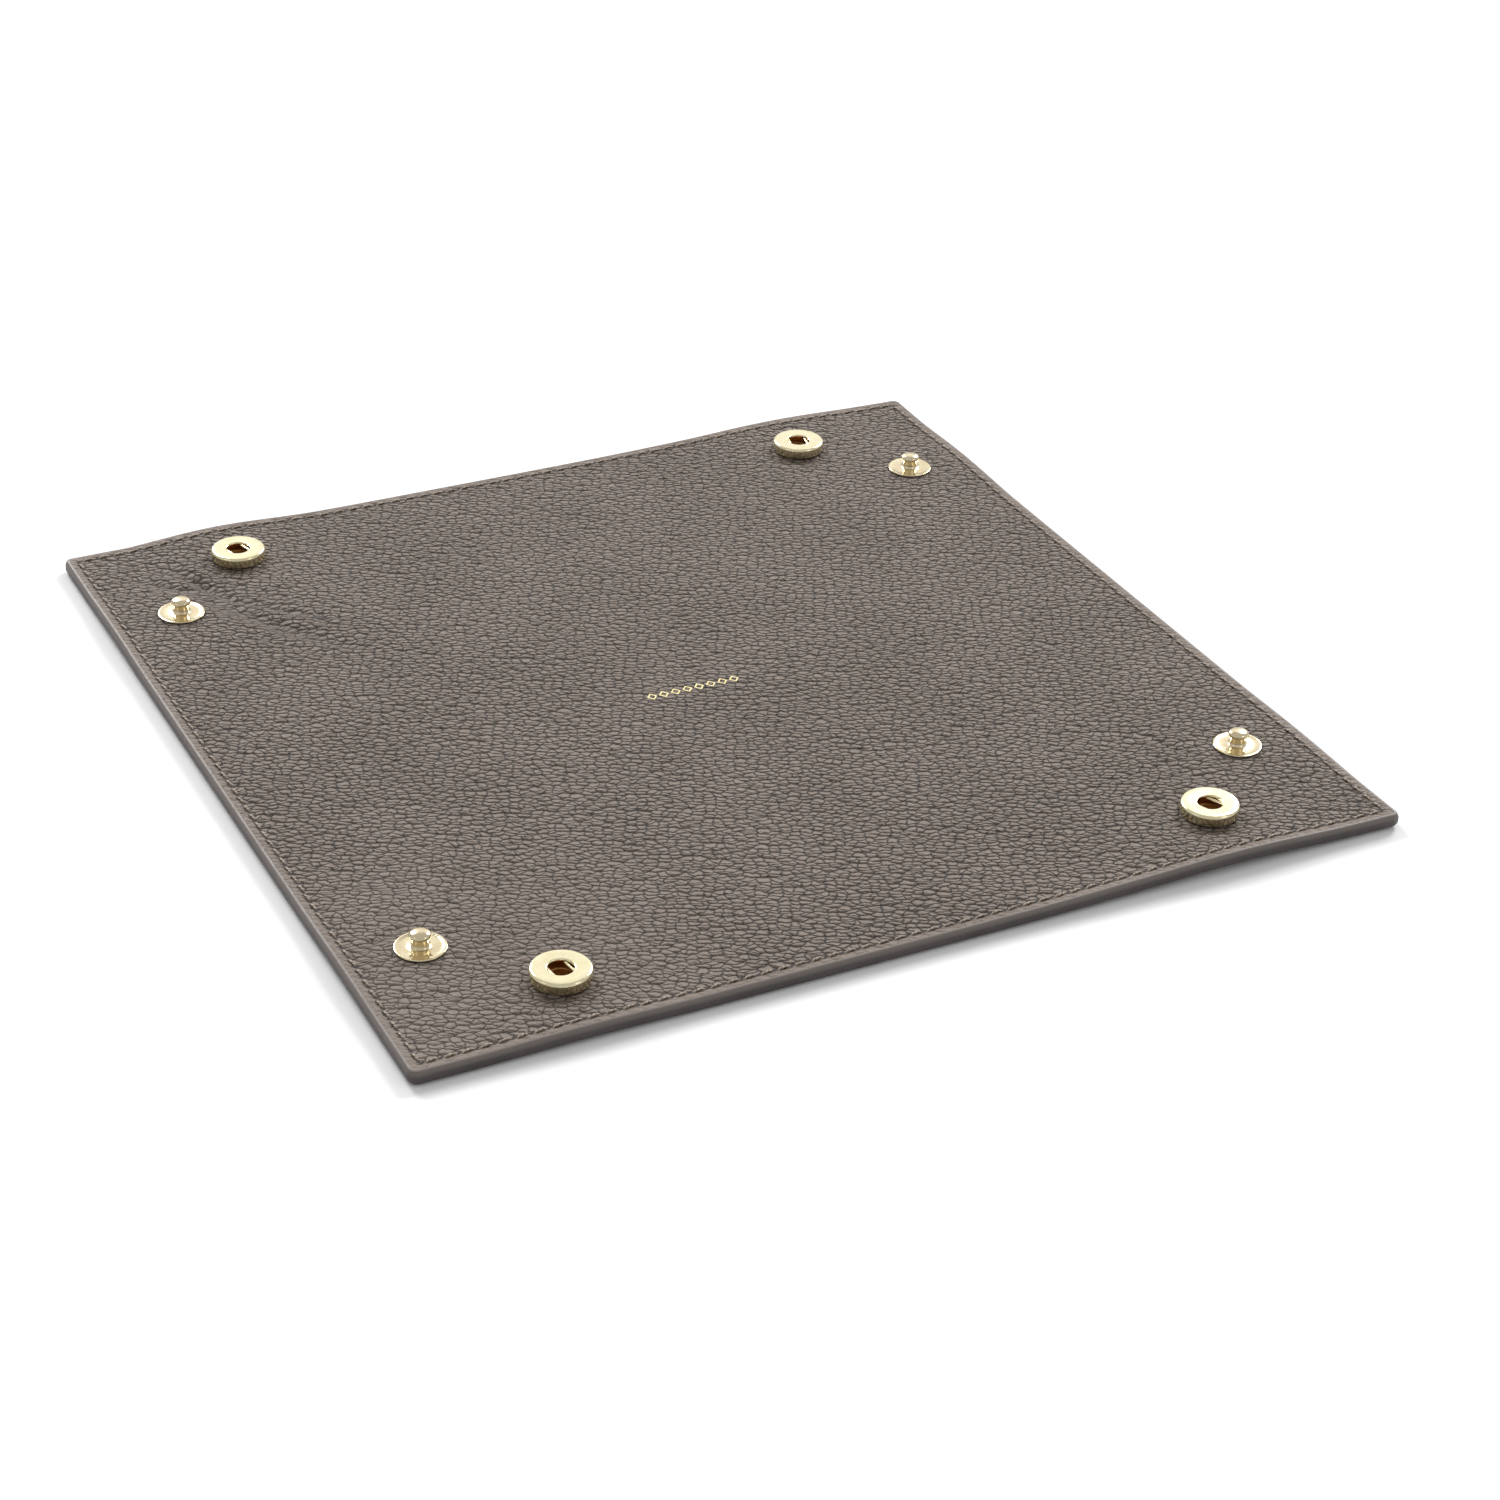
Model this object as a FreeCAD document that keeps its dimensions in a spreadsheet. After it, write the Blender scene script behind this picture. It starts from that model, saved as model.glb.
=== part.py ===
import FreeCAD, Part
import Sketcher
import math
import os

# Folding dice tray: a square of double leather that lies flat, and becomes an open box when the
# four corners are pinched and their snap fasteners are closed.
#
# Frame: origin at the middle of the footprint, +Z up, X along the front edge, Y towards the back.
# The leather is laid out as thirteen panels: a floor, four walls, and two triangular flaps per corner.

os.makedirs("parts", exist_ok=True)
doc = FreeCAD.newDocument("DiceTray")

# ---------------------------------------------------------------- sizes, in millimetres
SIZES = {
    "side": 210.0,             # finished square, edge to edge
    "half_side": 105.0,
    "fold_line": 60.0,         # floor to wall fold, from the middle
    "flap_crease": 56.89,      # wall to corner flap crease, from the middle
    "seam_gap": 0.25,          # each panel stops this far short of a fold
    "open_seam": 0.9,          # the stud flaps stop this far short of the side walls
    "flap_clear": 0.45,        # the flaps stop this far short of the floor line
    "tip_radius": 2.0,         # plan radius of the four outer corners
    "face_thick": 1.4,         # pebbled face leather
    "lining_thick": 1.4,       # lining leather
    "edge_round": 0.9,         # rounding of the painted edge
    "cap_proud": 0.8,          # rivet caps stand below the lining by this much
    "board_size": 112.0,       # stiffener hidden under the floor's face leather
    "board_thick": 0.6,
    "stitch_inset": 2.7,
    "stitch_pitch": 3.45,
    "stitch_length": 2.7,
    "stitch_width": 0.62,
    "stitch_rise": 0.24,
    "snap_far": 89.25,         # snap centre, from the middle, towards its own edge
    "snap_near": 69.7,         # and along that edge
    "socket_radius": 5.9,
    "socket_height": 2.4,
    "socket_hole": 2.5,
    "socket_cavity": 4.9,
    "socket_plate": 0.3,
    "socket_lip": 0.45,
    "post_radius": 2.7,
    "post_bore": 2.3,
    "post_hole": 2.75,
    "flare_radius": 3.25,
    "flare_thick": 0.2,
    "cap_radius": 6.0,
    "wire_radius": 0.35,
    "wire_apart": 1.95,        # half the distance between the two spring bars
    "wire_height": 1.58,
    "wire_straight": 6.1,
    "wire_tail": 3.9,
    "stud_flange": 5.0,
    "flange_thick": 0.3,
    "neck_radius": 1.5,
    "neck_top": 2.05,
    "head_radius": 2.1,
    "head_low": 2.4,
    "head_high": 2.85,
    "head_top": 3.5,
    "rivet_radius": 1.0,
    "rivet_bore": 1.05,
    "rivet_length": 2.6,
    "rivet_hole": 1.1,
}

sheet = doc.addObject("Spreadsheet::Sheet", "Sizes")
for row, (alias, amount) in enumerate(SIZES.items(), start=1):
    sheet.set("A%d" % row, alias.replace("_", " "))
    sheet.set("B%d" % row, str(amount))
    sheet.setAlias("B%d" % row, alias)
doc.recompute()


def size(alias):
    """The number in one cell of the sheet."""
    return float(getattr(sheet, alias))


LINING_Z = size("cap_proud")
FACE_Z = LINING_Z + size("lining_thick")
TOP_Z = FACE_Z + size("face_thick")


# ---------------------------------------------------------------- small helpers
def amount_of(terms):
    """A length given as (factor, alias) pairs and plain numbers, as a number."""
    total = 0.0
    for term in terms:
        if isinstance(term, tuple):
            total += term[0] * size(term[1])
        else:
            total += term
    return total


def formula_of(terms):
    """The same length as an expression on the sheet."""
    words = []
    for term in terms:
        if isinstance(term, tuple):
            words.append("(%g) * Sizes.%s" % term)
        else:
            words.append("(%g)" % term)
    return " + ".join(words)


def new_body(label, angle=0.0, place=(0.0, 0.0, 0.0)):
    """A PartDesign body, moved to a place and turned about the vertical."""
    body = doc.addObject("PartDesign::Body", label)
    body.Label = label
    turn = FreeCAD.Rotation(FreeCAD.Vector(0, 0, 1), angle)
    body.Placement = FreeCAD.Placement(FreeCAD.Vector(*place), turn)
    return body


def new_sketch(body, name, role):
    """An empty sketch on one of the body's own origin planes."""
    sketch = body.newObject("Sketcher::SketchObject", name)
    plane = [f for f in body.Origin.OriginFeatures if f.Role == role][0]
    sketch.AttachmentSupport = (plane, [""])
    sketch.MapMode = "FlatFace"
    return sketch


def draw_outline(sketch, corners):
    """A closed outline of straight lines, with each corner held by the sheet's sizes."""
    points = [FreeCAD.Vector(amount_of(x), amount_of(y), 0) for x, y in corners]
    count = len(points)
    for i in range(count):
        sketch.addGeometry(Part.LineSegment(points[i], points[(i + 1) % count]), False)
    for i in range(count):
        sketch.addConstraint(Sketcher.Constraint("Coincident", i, 2, (i + 1) % count, 1))
    for i, (x, y) in enumerate(corners):
        for kind, terms in (("DistanceX", x), ("DistanceY", y)):
            value = amount_of(terms)
            index = sketch.addConstraint(Sketcher.Constraint(kind, i, 1, value))
            sketch.setExpression("Constraints[%d]" % index, formula_of(terms))


def draw_circle(sketch, x, y, radius):
    """A circle held by the sheet's sizes."""
    centre = FreeCAD.Vector(amount_of(x), amount_of(y), 0)
    circle = Part.Circle(centre, FreeCAD.Vector(0, 0, 1), amount_of(radius))
    sketch.addGeometry(circle, False)
    for kind, terms in (("DistanceX", x), ("DistanceY", y)):
        index = sketch.addConstraint(Sketcher.Constraint(kind, 0, 3, amount_of(terms)))
        sketch.setExpression("Constraints[%d]" % index, formula_of(terms))
    index = sketch.addConstraint(Sketcher.Constraint("Radius", 0, amount_of(radius)))
    sketch.setExpression("Constraints[%d]" % index, formula_of(radius))


def pad_up(body, sketch, thick):
    """A pad from the sketch upwards."""
    pad = body.newObject("PartDesign::Pad", body.Name + "_pad")
    pad.Profile = sketch
    pad.setExpression("Length", formula_of(thick))
    doc.recompute()
    return pad


def pocket_up(body, sketch, depth):
    """A pocket from the underside upwards, checked to have removed something."""
    before = body.Shape.Volume
    pocket = body.newObject("PartDesign::Pocket", sketch.Name + "_cut")
    pocket.Profile = sketch
    pocket.Reversed = True
    pocket.setExpression("Length", formula_of(depth))
    doc.recompute()
    if body.Shape.Volume > before - 0.1:
        raise RuntimeError(body.Label + ": the pocket removed nothing")
    return pocket


def round_outer_edges(body, base, level):
    """Rounds the long edges that lie on the outer sides of the square, at one level."""
    half = size("half_side")
    names = []
    for number, edge in enumerate(base.Shape.Edges, start=1):
        ends = [v.Point for v in edge.Vertexes]
        if len(ends) == 2 and all(abs(p.z - level) < 1e-6 and abs(p.y + half) < 1e-6 for p in ends):
            names.append("Edge%d" % number)
    fillet = body.newObject("PartDesign::Fillet", body.Name + "_round")
    fillet.Base = (base, names)
    fillet.setExpression("Radius", "Sizes.edge_round")
    doc.recompute()
    return fillet


def revolve(body, profile):
    """A turned piece: profile is (radius, height) corners, each a list of terms."""
    sketch = new_sketch(body, body.Name + "_profile", "XZ_Plane")
    draw_outline(sketch, profile)
    turned = body.newObject("PartDesign::Revolution", body.Name + "_turned")
    turned.Profile = sketch
    turned.ReferenceAxis = (sketch, ["V_Axis"])
    turned.Angle = 360.0
    doc.recompute()
    return turned


# ---------------------------------------------------------------- panel outlines
# Every panel is drawn at the front of the square and then turned about the vertical.
def wall_outline():
    side = [(1, "flap_crease"), (-1, "seam_gap")]
    side_minus = [(-1, "flap_crease"), (1, "seam_gap")]
    edge = [(-1, "half_side")]
    fold = [(-1, "fold_line"), (-1, "seam_gap")]
    return [(side_minus, edge), (side, edge), (side, fold), (side_minus, fold)]


def flap_outline(hand, gap):
    """A triangular corner flap beside the front wall: hand is -1 at its left end, 1 at its right."""
    bend = math.sin(math.radians(45.0))
    tip = [(hand, "half_side"), (-hand, "tip_radius")]
    tip_mid_x = tip + [(hand * 0.38, "tip_radius")]
    tip_mid_y = [(-1, "half_side"), (0.076, "tip_radius")]
    tip_low_x = [(hand, "half_side"), (hand * (bend - 1), "tip_radius"), (-hand, "seam_gap")]
    tip_low_y = [(-1, "half_side"), (1 - bend, "tip_radius")]
    inner_y = [(-1, "fold_line"), (-1, "flap_clear")]
    slope_x = [(hand, "fold_line"), (hand, "flap_clear"), (-hand * 1.414, "seam_gap")]
    crease = [(hand, "flap_crease"), (hand, gap)]
    edge = [(-1, "half_side")]
    return [
        (crease, edge),
        (tip, edge),
        (tip_mid_x, tip_mid_y),
        (tip_low_x, tip_low_y),
        (slope_x, inner_y),
        (crease, inner_y),
    ]


def floor_outline():
    edge = [(1, "fold_line"), (-1, "seam_gap")]
    edge_minus = [(-1, "fold_line"), (1, "seam_gap")]
    return [(edge_minus, edge_minus), (edge, edge_minus), (edge, edge), (edge_minus, edge)]


def leather_layer(label, outline, thick, z, angle, hole=None, board=False, round_level=None):
    """One layer of one panel, with its punched hole or its recess for the stiffener."""
    body = new_body(label, angle, (0, 0, z))
    sketch = new_sketch(body, label + "_outline", "XY_Plane")
    draw_outline(sketch, outline)
    tip = pad_up(body, sketch, thick)
    if round_level is not None:
        tip = round_outer_edges(body, tip, round_level)
    if hole is not None:
        punch = new_sketch(body, label + "_punch", "XY_Plane")
        draw_circle(punch, *hole)
        pocket_up(body, punch, thick + [1.0])
    if board:
        recess = new_sketch(body, label + "_recess", "XY_Plane")
        plus, minus = [(0.5, "board_size"), 0.1], [(-0.5, "board_size"), -0.1]
        draw_outline(recess, [(minus, minus), (plus, minus), (plus, plus), (minus, plus)])
        pocket_up(body, recess, [(1, "board_thick")])
    return body


def panel(name, outline, angle, hole=None, floor=False):
    """The face leather and the lining of one panel."""
    face, lining = [(1, "face_thick")], [(1, "lining_thick")]
    top, bottom = (None, None) if floor else (size("face_thick"), 0.0)
    leather_layer("face_" + name, outline, face, FACE_Z, angle, hole, floor, top)
    leather_layer("lining_" + name, outline, lining, LINING_Z, angle, hole, False, bottom)


# ---------------------------------------------------------------- stitches
def stitch_solid(x, y, level, up, lean):
    """One flattened stitch lying on the leather along X: up is 1 on top, -1 underneath."""
    length, width = size("stitch_length") / 2, size("stitch_width") / 2
    rise = size("stitch_rise") * up
    section = [(-width, 0.0), (-width * 0.55, rise), (width * 0.55, rise), (width, 0.0)]
    corners = [FreeCAD.Vector(-length, a, b) for a, b in section]
    face = Part.Face(Part.makePolygon(corners + corners[:1]))
    solid = face.extrude(FreeCAD.Vector(2 * length, 0, 0))
    solid.rotate(FreeCAD.Vector(0, 0, 0), FreeCAD.Vector(0, 0, 1), lean)
    solid.translate(FreeCAD.Vector(x, y, level))
    return solid


def stitches(name, first, last, angle):
    """The lockstitches of one panel: the seen side on top, the bobbin side underneath."""
    pitch = size("stitch_pitch")
    y = -size("half_side") + size("stitch_inset")
    solids = []
    for i in range(first, last + 1):
        x = i * pitch
        solids.append(stitch_solid(x, y, TOP_Z, 1, 10.0))
        solids.append(stitch_solid(x, y, LINING_Z, -1, -10.0))
    feature = doc.addObject("Part::Feature", "thread_" + name)
    feature.Label = "thread_" + name
    feature.Shape = Part.makeCompound(solids)
    turn = FreeCAD.Rotation(FreeCAD.Vector(0, 0, 1), angle)
    feature.Placement = FreeCAD.Placement(FreeCAD.Vector(0, 0, 0), turn)


# ---------------------------------------------------------------- snap fasteners
def socket(name, place):
    """The female half: a turned ring with a cavity under its lip for the spring."""
    body = new_body("socket_" + name, 0, (place[0], place[1], TOP_Z))
    outer, hole, seat = [(1, "socket_radius")], [(1, "socket_hole")], [(1, "post_hole")]
    cavity, plate = [(1, "socket_cavity")], [(1, "socket_plate")]
    top = [(1, "socket_height")]
    under_lip = [(1, "socket_height"), (-1, "socket_lip")]
    revolve(body, [
        (seat, [0.0]),
        (outer + [-0.3], [0.0]),
        (outer, [0.3]),
        (outer, top + [-0.4]),
        (outer + [-0.12], top + [-0.12]),
        (outer + [-0.4], top),
        (hole + [0.25], top),
        (hole, top + [-0.2]),
        (hole, under_lip),
        (cavity, under_lip),
        (cavity, plate),
        (seat, plate),
    ])


def socket_cap(name, place):
    """The cap and hollow post that rivet the socket to the leather."""
    body = new_body("cap_socket_" + name, 0, (place[0], place[1], LINING_Z))
    cap, post, bore = [(1, "cap_radius")], [(1, "post_radius")], [(1, "post_bore")]
    leather = [(1, "lining_thick"), (1, "face_thick")]
    flare_low = leather + [(1, "socket_plate")]
    flare_top = flare_low + [(1, "flare_thick")]
    revolve(body, [
        ([0.0], [(-1, "cap_proud")]),
        (cap + [-0.5], [(-1, "cap_proud")]),
        (cap + [-0.1], [(-0.6, "cap_proud")]),
        (cap, [(-0.25, "cap_proud")]),
        (cap, [0.0]),
        (post, [0.0]),
        (post, flare_low),
        ([(1, "flare_radius")], flare_low),
        ([(1, "flare_radius")], flare_low + [0.08]),
        (post, flare_top),
        (bore, flare_top),
        (bore, [1.0]),
        ([0.0], [1.0]),
    ])


def bar(name, x, y, length):
    """One straight bar of the spring wire, along Y."""
    rod = doc.addObject("Part::Cylinder", name)
    rod.setExpression("Radius", "Sizes.wire_radius")
    rod.setExpression("Height", length)
    rod.Placement = FreeCAD.Placement(
        FreeCAD.Vector(x, y, 0), FreeCAD.Rotation(FreeCAD.Vector(1, 0, 0), -90))
    return rod


def spring(name, place, angle):
    """The hairpin spring: two bars across the hole, joined by half a turn in the cavity."""
    apart, tail = size("wire_apart"), size("wire_tail")
    left = bar("wire_left_" + name, -apart, -tail, "Sizes.wire_straight")
    right = bar("wire_right_" + name, apart, -tail, "Sizes.wire_straight")
    bend = doc.addObject("Part::Torus", "wire_bend_" + name)
    bend.setExpression("Radius1", "Sizes.wire_apart")
    bend.setExpression("Radius2", "Sizes.wire_radius")
    bend.Angle3 = 180.0
    bend.Placement = FreeCAD.Placement(
        FreeCAD.Vector(0, size("wire_straight") - tail, 0), FreeCAD.Rotation())
    whole = doc.addObject("Part::MultiFuse", "spring_" + name)
    whole.Label = "spring_" + name
    whole.Shapes = [left, right, bend]
    whole.Refine = True
    whole.Placement = FreeCAD.Placement(
        FreeCAD.Vector(place[0], place[1], TOP_Z + size("wire_height")),
        FreeCAD.Rotation(FreeCAD.Vector(0, 0, 1), angle))


def stud(name, place):
    """The male half: a flange, a neck and a domed head, hollow for its rivet."""
    body = new_body("stud_" + name, 0, (place[0], place[1], TOP_Z))
    flange, neck, head = [(1, "stud_flange")], [(1, "neck_radius")], [(1, "head_radius")]
    bore, thick = [(1, "rivet_bore")], [(1, "flange_thick")]
    revolve(body, [
        (bore, [0.0]),
        (flange + [-0.1], [0.0]),
        (flange, [0.1]),
        (flange, [0.2]),
        (flange + [-0.15], thick),
        (neck + [0.3], thick),
        (neck, thick + [0.3]),
        (neck, [(1, "neck_top")]),
        (head, [(1, "head_low")]),
        (head, [(1, "head_high")]),
        (head + [-0.15], [(1, "head_top"), -0.35]),
        (head + [-0.5], [(1, "head_top"), -0.15]),
        (head + [-1.1], [(1, "head_top"), -0.04]),
        ([0.5], [(1, "head_top"), -0.01]),
        ([0.0], [(1, "head_top")]),
        ([0.0], [(1, "rivet_length"), 0.1]),
        (bore, [(1, "rivet_length"), 0.1]),
    ])


def stud_cap(name, place):
    """The cap and solid rivet that hold the stud to the leather."""
    body = new_body("cap_stud_" + name, 0, (place[0], place[1], LINING_Z))
    cap, rivet = [(1, "cap_radius")], [(1, "rivet_radius")]
    tip = [(1, "lining_thick"), (1, "face_thick"), (1, "rivet_length")]
    revolve(body, [
        ([0.0], [(-1, "cap_proud")]),
        (cap + [-0.5], [(-1, "cap_proud")]),
        (cap + [-0.1], [(-0.6, "cap_proud")]),
        (cap, [(-0.25, "cap_proud")]),
        (cap, [0.0]),
        (rivet, [0.0]),
        (rivet, tip),
        ([0.0], tip),
    ])


# ---------------------------------------------------------------- the assembly
panel("floor", floor_outline(), 0, floor=True)

board = doc.addObject("Part::Box", "floor_board")
board.Label = "floor_board"
board.setExpression("Length", "Sizes.board_size")
board.setExpression("Width", "Sizes.board_size")
board.setExpression("Height", "Sizes.board_thick")
half_board = size("board_size") / 2
board.Placement = FreeCAD.Placement(
    FreeCAD.Vector(-half_board, -half_board, FACE_Z), FreeCAD.Rotation())

# Stitches are numbered from the one in the middle of a side, and both creases fall between two.
LAST_ON_WALL = 16
LAST_ON_SIDE = 29

# Walls, in the order they meet when the front one is turned a quarter turn at a time.
WALLS = ["front", "right", "back", "left"]
for turn, wall in enumerate(WALLS):
    panel("wall_" + wall, wall_outline(), 90 * turn)
    stitches("wall_" + wall, -LAST_ON_WALL, LAST_ON_WALL, 90 * turn)

# Corner flaps. A flap beside the front or back wall carries a socket, one beside a side wall a stud.
CORNERS = ["front_left", "front_right", "back_right", "back_left"]
LEFT_SPRING_LEAN = [8.0, 24.0, -12.0, 16.0]


def quarter_turned(x, y, turn):
    """A point turned about the middle by a number of quarter turns."""
    for _ in range(turn):
        x, y = -y, x
    return x, y


for turn in range(4):
    kind = "socket" if turn % 2 == 0 else "stud"
    crease_gap = "seam_gap" if kind == "socket" else "open_seam"
    for hand in (-1, 1):
        corner = CORNERS[turn] if hand < 0 else CORNERS[(turn + 1) % 4]
        name = "flap_%s_%s" % (kind, corner)
        hole_size = [(1, "post_hole")] if kind == "socket" else [(1, "rivet_hole")]
        hole = ([(hand, "snap_near")], [(-1, "snap_far")], hole_size)
        panel(name, flap_outline(hand, crease_gap), 90 * turn, hole)
        if hand < 0:
            stitches(name, -LAST_ON_SIDE, -LAST_ON_WALL - 1, 90 * turn)
        else:
            stitches(name, LAST_ON_WALL + 1, LAST_ON_SIDE, 90 * turn)
        place = quarter_turned(hand * size("snap_near"), -size("snap_far"), turn)
        if kind == "socket":
            socket(corner, place)
            socket_cap(corner, place)
            spring(corner, place, LEFT_SPRING_LEAN[CORNERS.index(corner)])
        else:
            stud(corner, place)
            stud_cap(corner, place)

doc.recompute()

# ---------------------------------------------------------------- checks and export
failed = [o.Name for o in doc.Objects if "Invalid" in o.State or "Error" in o.State]
if failed:
    raise RuntimeError("objects that did not build: " + ", ".join(failed))

fused = [o for o in doc.Objects if o.TypeId == "Part::MultiFuse"]
used = [part for whole in fused for part in whole.Shapes]
PIECES = ("PartDesign::Body", "Part::Feature", "Part::Box", "Part::MultiFuse")
nodes = [o for o in doc.Objects if o.TypeId in PIECES and o not in used]
for piece in nodes:
    shape = piece.Shape
    if shape.isNull() or not shape.isValid() or not shape.Solids:
        raise RuntimeError(piece.Label + " has no valid solid")
for piece in nodes:
    piece.Shape.exportStep("parts/%s.step" % piece.Label)
print(len(nodes), "nodes written")
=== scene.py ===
import math

import bpy
import numpy as np
from mathutils import Matrix, Vector


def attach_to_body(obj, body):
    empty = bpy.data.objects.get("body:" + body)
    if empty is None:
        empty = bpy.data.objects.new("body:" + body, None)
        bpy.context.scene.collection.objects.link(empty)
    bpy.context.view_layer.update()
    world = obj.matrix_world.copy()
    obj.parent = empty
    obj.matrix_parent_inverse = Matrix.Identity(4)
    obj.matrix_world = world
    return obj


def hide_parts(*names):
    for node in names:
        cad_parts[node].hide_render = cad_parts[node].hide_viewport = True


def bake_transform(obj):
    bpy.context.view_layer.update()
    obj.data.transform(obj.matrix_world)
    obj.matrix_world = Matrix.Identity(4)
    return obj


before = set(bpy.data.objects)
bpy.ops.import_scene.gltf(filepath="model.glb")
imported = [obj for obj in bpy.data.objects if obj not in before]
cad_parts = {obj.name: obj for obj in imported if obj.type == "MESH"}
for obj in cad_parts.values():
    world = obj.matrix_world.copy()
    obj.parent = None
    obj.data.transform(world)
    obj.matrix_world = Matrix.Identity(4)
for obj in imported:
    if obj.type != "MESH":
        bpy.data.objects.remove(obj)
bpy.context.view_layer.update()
MM = 0.001

# ---------------------------------------------------------------- sizes, in millimetres, from the CAD
HALF = 105.0                # half the finished square
FOLD = 60.0                 # floor to wall fold
CREASE = 56.89              # wall to flap crease
LOW_Z, TOP_Z = 0.8, 3.6     # lining underside, face leather top
ROUND = 0.9                 # rounding of the painted edge
TIP = 0.7                   # plan radius of the outer corners, inside the rounded edge
BEND = FOLD - CREASE        # half width of a bend zone
INSET = 2.7                 # stitch line from the edge
PITCH = 3.45                # length of a stitch
SNAP_FAR, SNAP_NEAR = 89.25, 69.7   # a snap's distances from the square's two middle lines
PUNCH, PUNCH_DEPTH = 3.0, 1.7       # hole in the face leather under a socket
FACE_SIDE, PAINTED, LINED = 0, 1, 2     # finishes of a leather skin, in the order of its materials
CORNERS = {"front_left": (-1, -1), "front_right": (1, -1), "back_right": (1, 1), "back_left": (-1, 1)}
WALLS = {"front": (0, -1), "right": (1, 0), "back": (0, 1), "left": (-1, 0)}
SOCKETS = {c: (sx * SNAP_NEAR, sy * SNAP_FAR) for c, (sx, sy) in CORNERS.items()}
STUDS = {c: (sx * SNAP_FAR, sy * SNAP_NEAR) for c, (sx, sy) in CORNERS.items()}
# turn of each socket's hairpin spring, in degrees
SPRING_LEAN = {"front_left": 8.0, "front_right": 24.0, "back_right": -12.0, "back_left": 16.0}


# ---------------------------------------------------------------- shape of the lying sheet
def smooth(t):
    t = np.clip(t, 0.0, 1.0)
    return t * t * (3 - 2 * t)


def bump_at(x, y, cx, cy, wide, tall, turn=0.0):
    """A soft hill of height 1 at a place, in plan, turned by some degrees."""
    a = math.radians(turn)
    u = (x - cx) * math.cos(a) + (y - cy) * math.sin(a)
    v = -(x - cx) * math.sin(a) + (y - cy) * math.cos(a)
    return np.exp(-0.5 * ((u / wide) ** 2 + (v / tall) ** 2))


def ridge(distance, middle, wide):
    """A soft ridge of height 1 where a distance has its middle value."""
    return np.exp(-0.5 * ((distance - middle) / wide) ** 2)


SAG, MOST_SAG = 0.5, 0.6                    # between the snaps, and anywhere
HOLD, HOLD_FADE, SAG_FADE = 6.5, 6.0, 21.0  # a snap holds the sheet this near, then less and less
# Where the edges beside the snaps are pushed up, and the left tip hangs: place, height, two widths.
HILLS = [
    (-70, 106, 0.8, 12, 7),
    (72, 106, 0.95, 22, 8),
    (62, -106, 0.9, 20, 7),
    (106, 72, 0.35, 8, 12),
    (-104, 104, -0.5, 13, 13),
]


def lift(x, y):
    """How far the sheet stands above or below its plane: it sags to the table between its snaps."""
    near, held = np.zeros_like(x), np.zeros_like(x)
    for cx, cy in list(SOCKETS.values()) + list(STUDS.values()):
        d = np.hypot(x - cx, y - cy)
        near = np.maximum(near, 1 - smooth((d - HOLD) / SAG_FADE))
        held = np.maximum(held, 1 - smooth((d - HOLD) / HOLD_FADE))
    hills = sum(height * bump_at(x, y, cx, cy, wide, tall) for cx, cy, height, wide, tall in HILLS)
    return np.maximum(-SAG * (1 - near) + hills * (1 - held), -MOST_SAG)


def crease_line(x, y, points, depth, wide):
    """A long soft fold through some points: negative depth is a furrow. It fades at both ends."""
    best, along = np.full(x.shape, 1e9), np.zeros(x.shape)
    lengths = [math.dist(a, b) for a, b in zip(points, points[1:])]
    total, done = sum(lengths), 0.0
    for (ax, ay), (bx, by), length in zip(points, points[1:], lengths):
        t = np.clip(((x - ax) * (bx - ax) + (y - ay) * (by - ay)) / length ** 2, 0, 1)
        d = np.hypot(x - ax - t * (bx - ax), y - ay - t * (by - ay))
        along = np.where(d < best, (done + t * length) / total, along)
        best = np.minimum(best, d)
        done += length
    fade = smooth(along / 0.25) * smooth((1 - along) / 0.3)
    return depth * fade * ridge(best, 0.0, wide)


DEEPEST = 0.9   # depth of the deepest crease
# The leather's soft creases, from where its corners have been pinched before: route, depth, width.
FURROWS = [
    ([(-97, 95), (-91, 86), (-84, 79), (-80, 72), (-75, 64), (-70, 56), (-64, 49), (-57, 43)], -0.9, 1.15),
    ([(-94, 97), (-87, 91), (-82, 83), (-77, 73), (-71, 66), (-65, 60), (-58, 51)], -0.75, 1.05),
    ([(-86, 96), (-82, 85), (-80, 77), (-76, 71), (-70, 66)], -0.5, 0.9),
    ([(-86, 80), (-79, 66), (-74, 58), (-68, 50), (-60, 42), (-52, 36)], -0.75, 1.15),
    ([(-82, 84), (-74, 75), (-67, 69), (-60, 64)], -0.45, 2.0),
    ([(-80, 60), (-74, 50), (-66, 41), (-58, 35)], -0.42, 1.1),
    ([(-102, -66), (-94, -64), (-88, -61), (-81, -59), (-74, -58)], -0.45, 0.8),
    ([(-102, -61), (-94, -60), (-87, -58), (-80, -56)], -0.32, 0.8),
    ([(-98, -57), (-90, -56), (-82, -53)], -0.25, 0.8),
    ([(-90, -80), (-84, -76), (-78, -73), (-70, -72), (-62, -70)], -0.36, 0.8),
    ([(-98, -86), (-92, -85), (-86, -84)], -0.25, 0.8),
    ([(71, -68), (74, -75), (77, -82), (82, -88)], -0.36, 0.8),
    ([(72, -54), (75, -62), (78, -67), (80, -74)], -0.36, 0.8),
    ([(80, 88), (74, 78), (68, 68), (60, 58)], -0.25, 1.0),
]


def creases(x, y):
    """All the soft creases together, as a height below zero."""
    return sum(crease_line(x, y, points, depth, wide) for points, depth, wide in FURROWS)


WAVES, WAVE_HEIGHT = 26, 0.07       # broad, very shallow waves all over the face leather
# Each kind of snap dents the leather: no crease within this radius, the dent's radius, depth and width.
DENTS = [(SOCKETS, 5.5, 6.5, 0.2, 1.1), (STUDS, 4.6, 5.5, 0.16, 1.0)]


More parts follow.
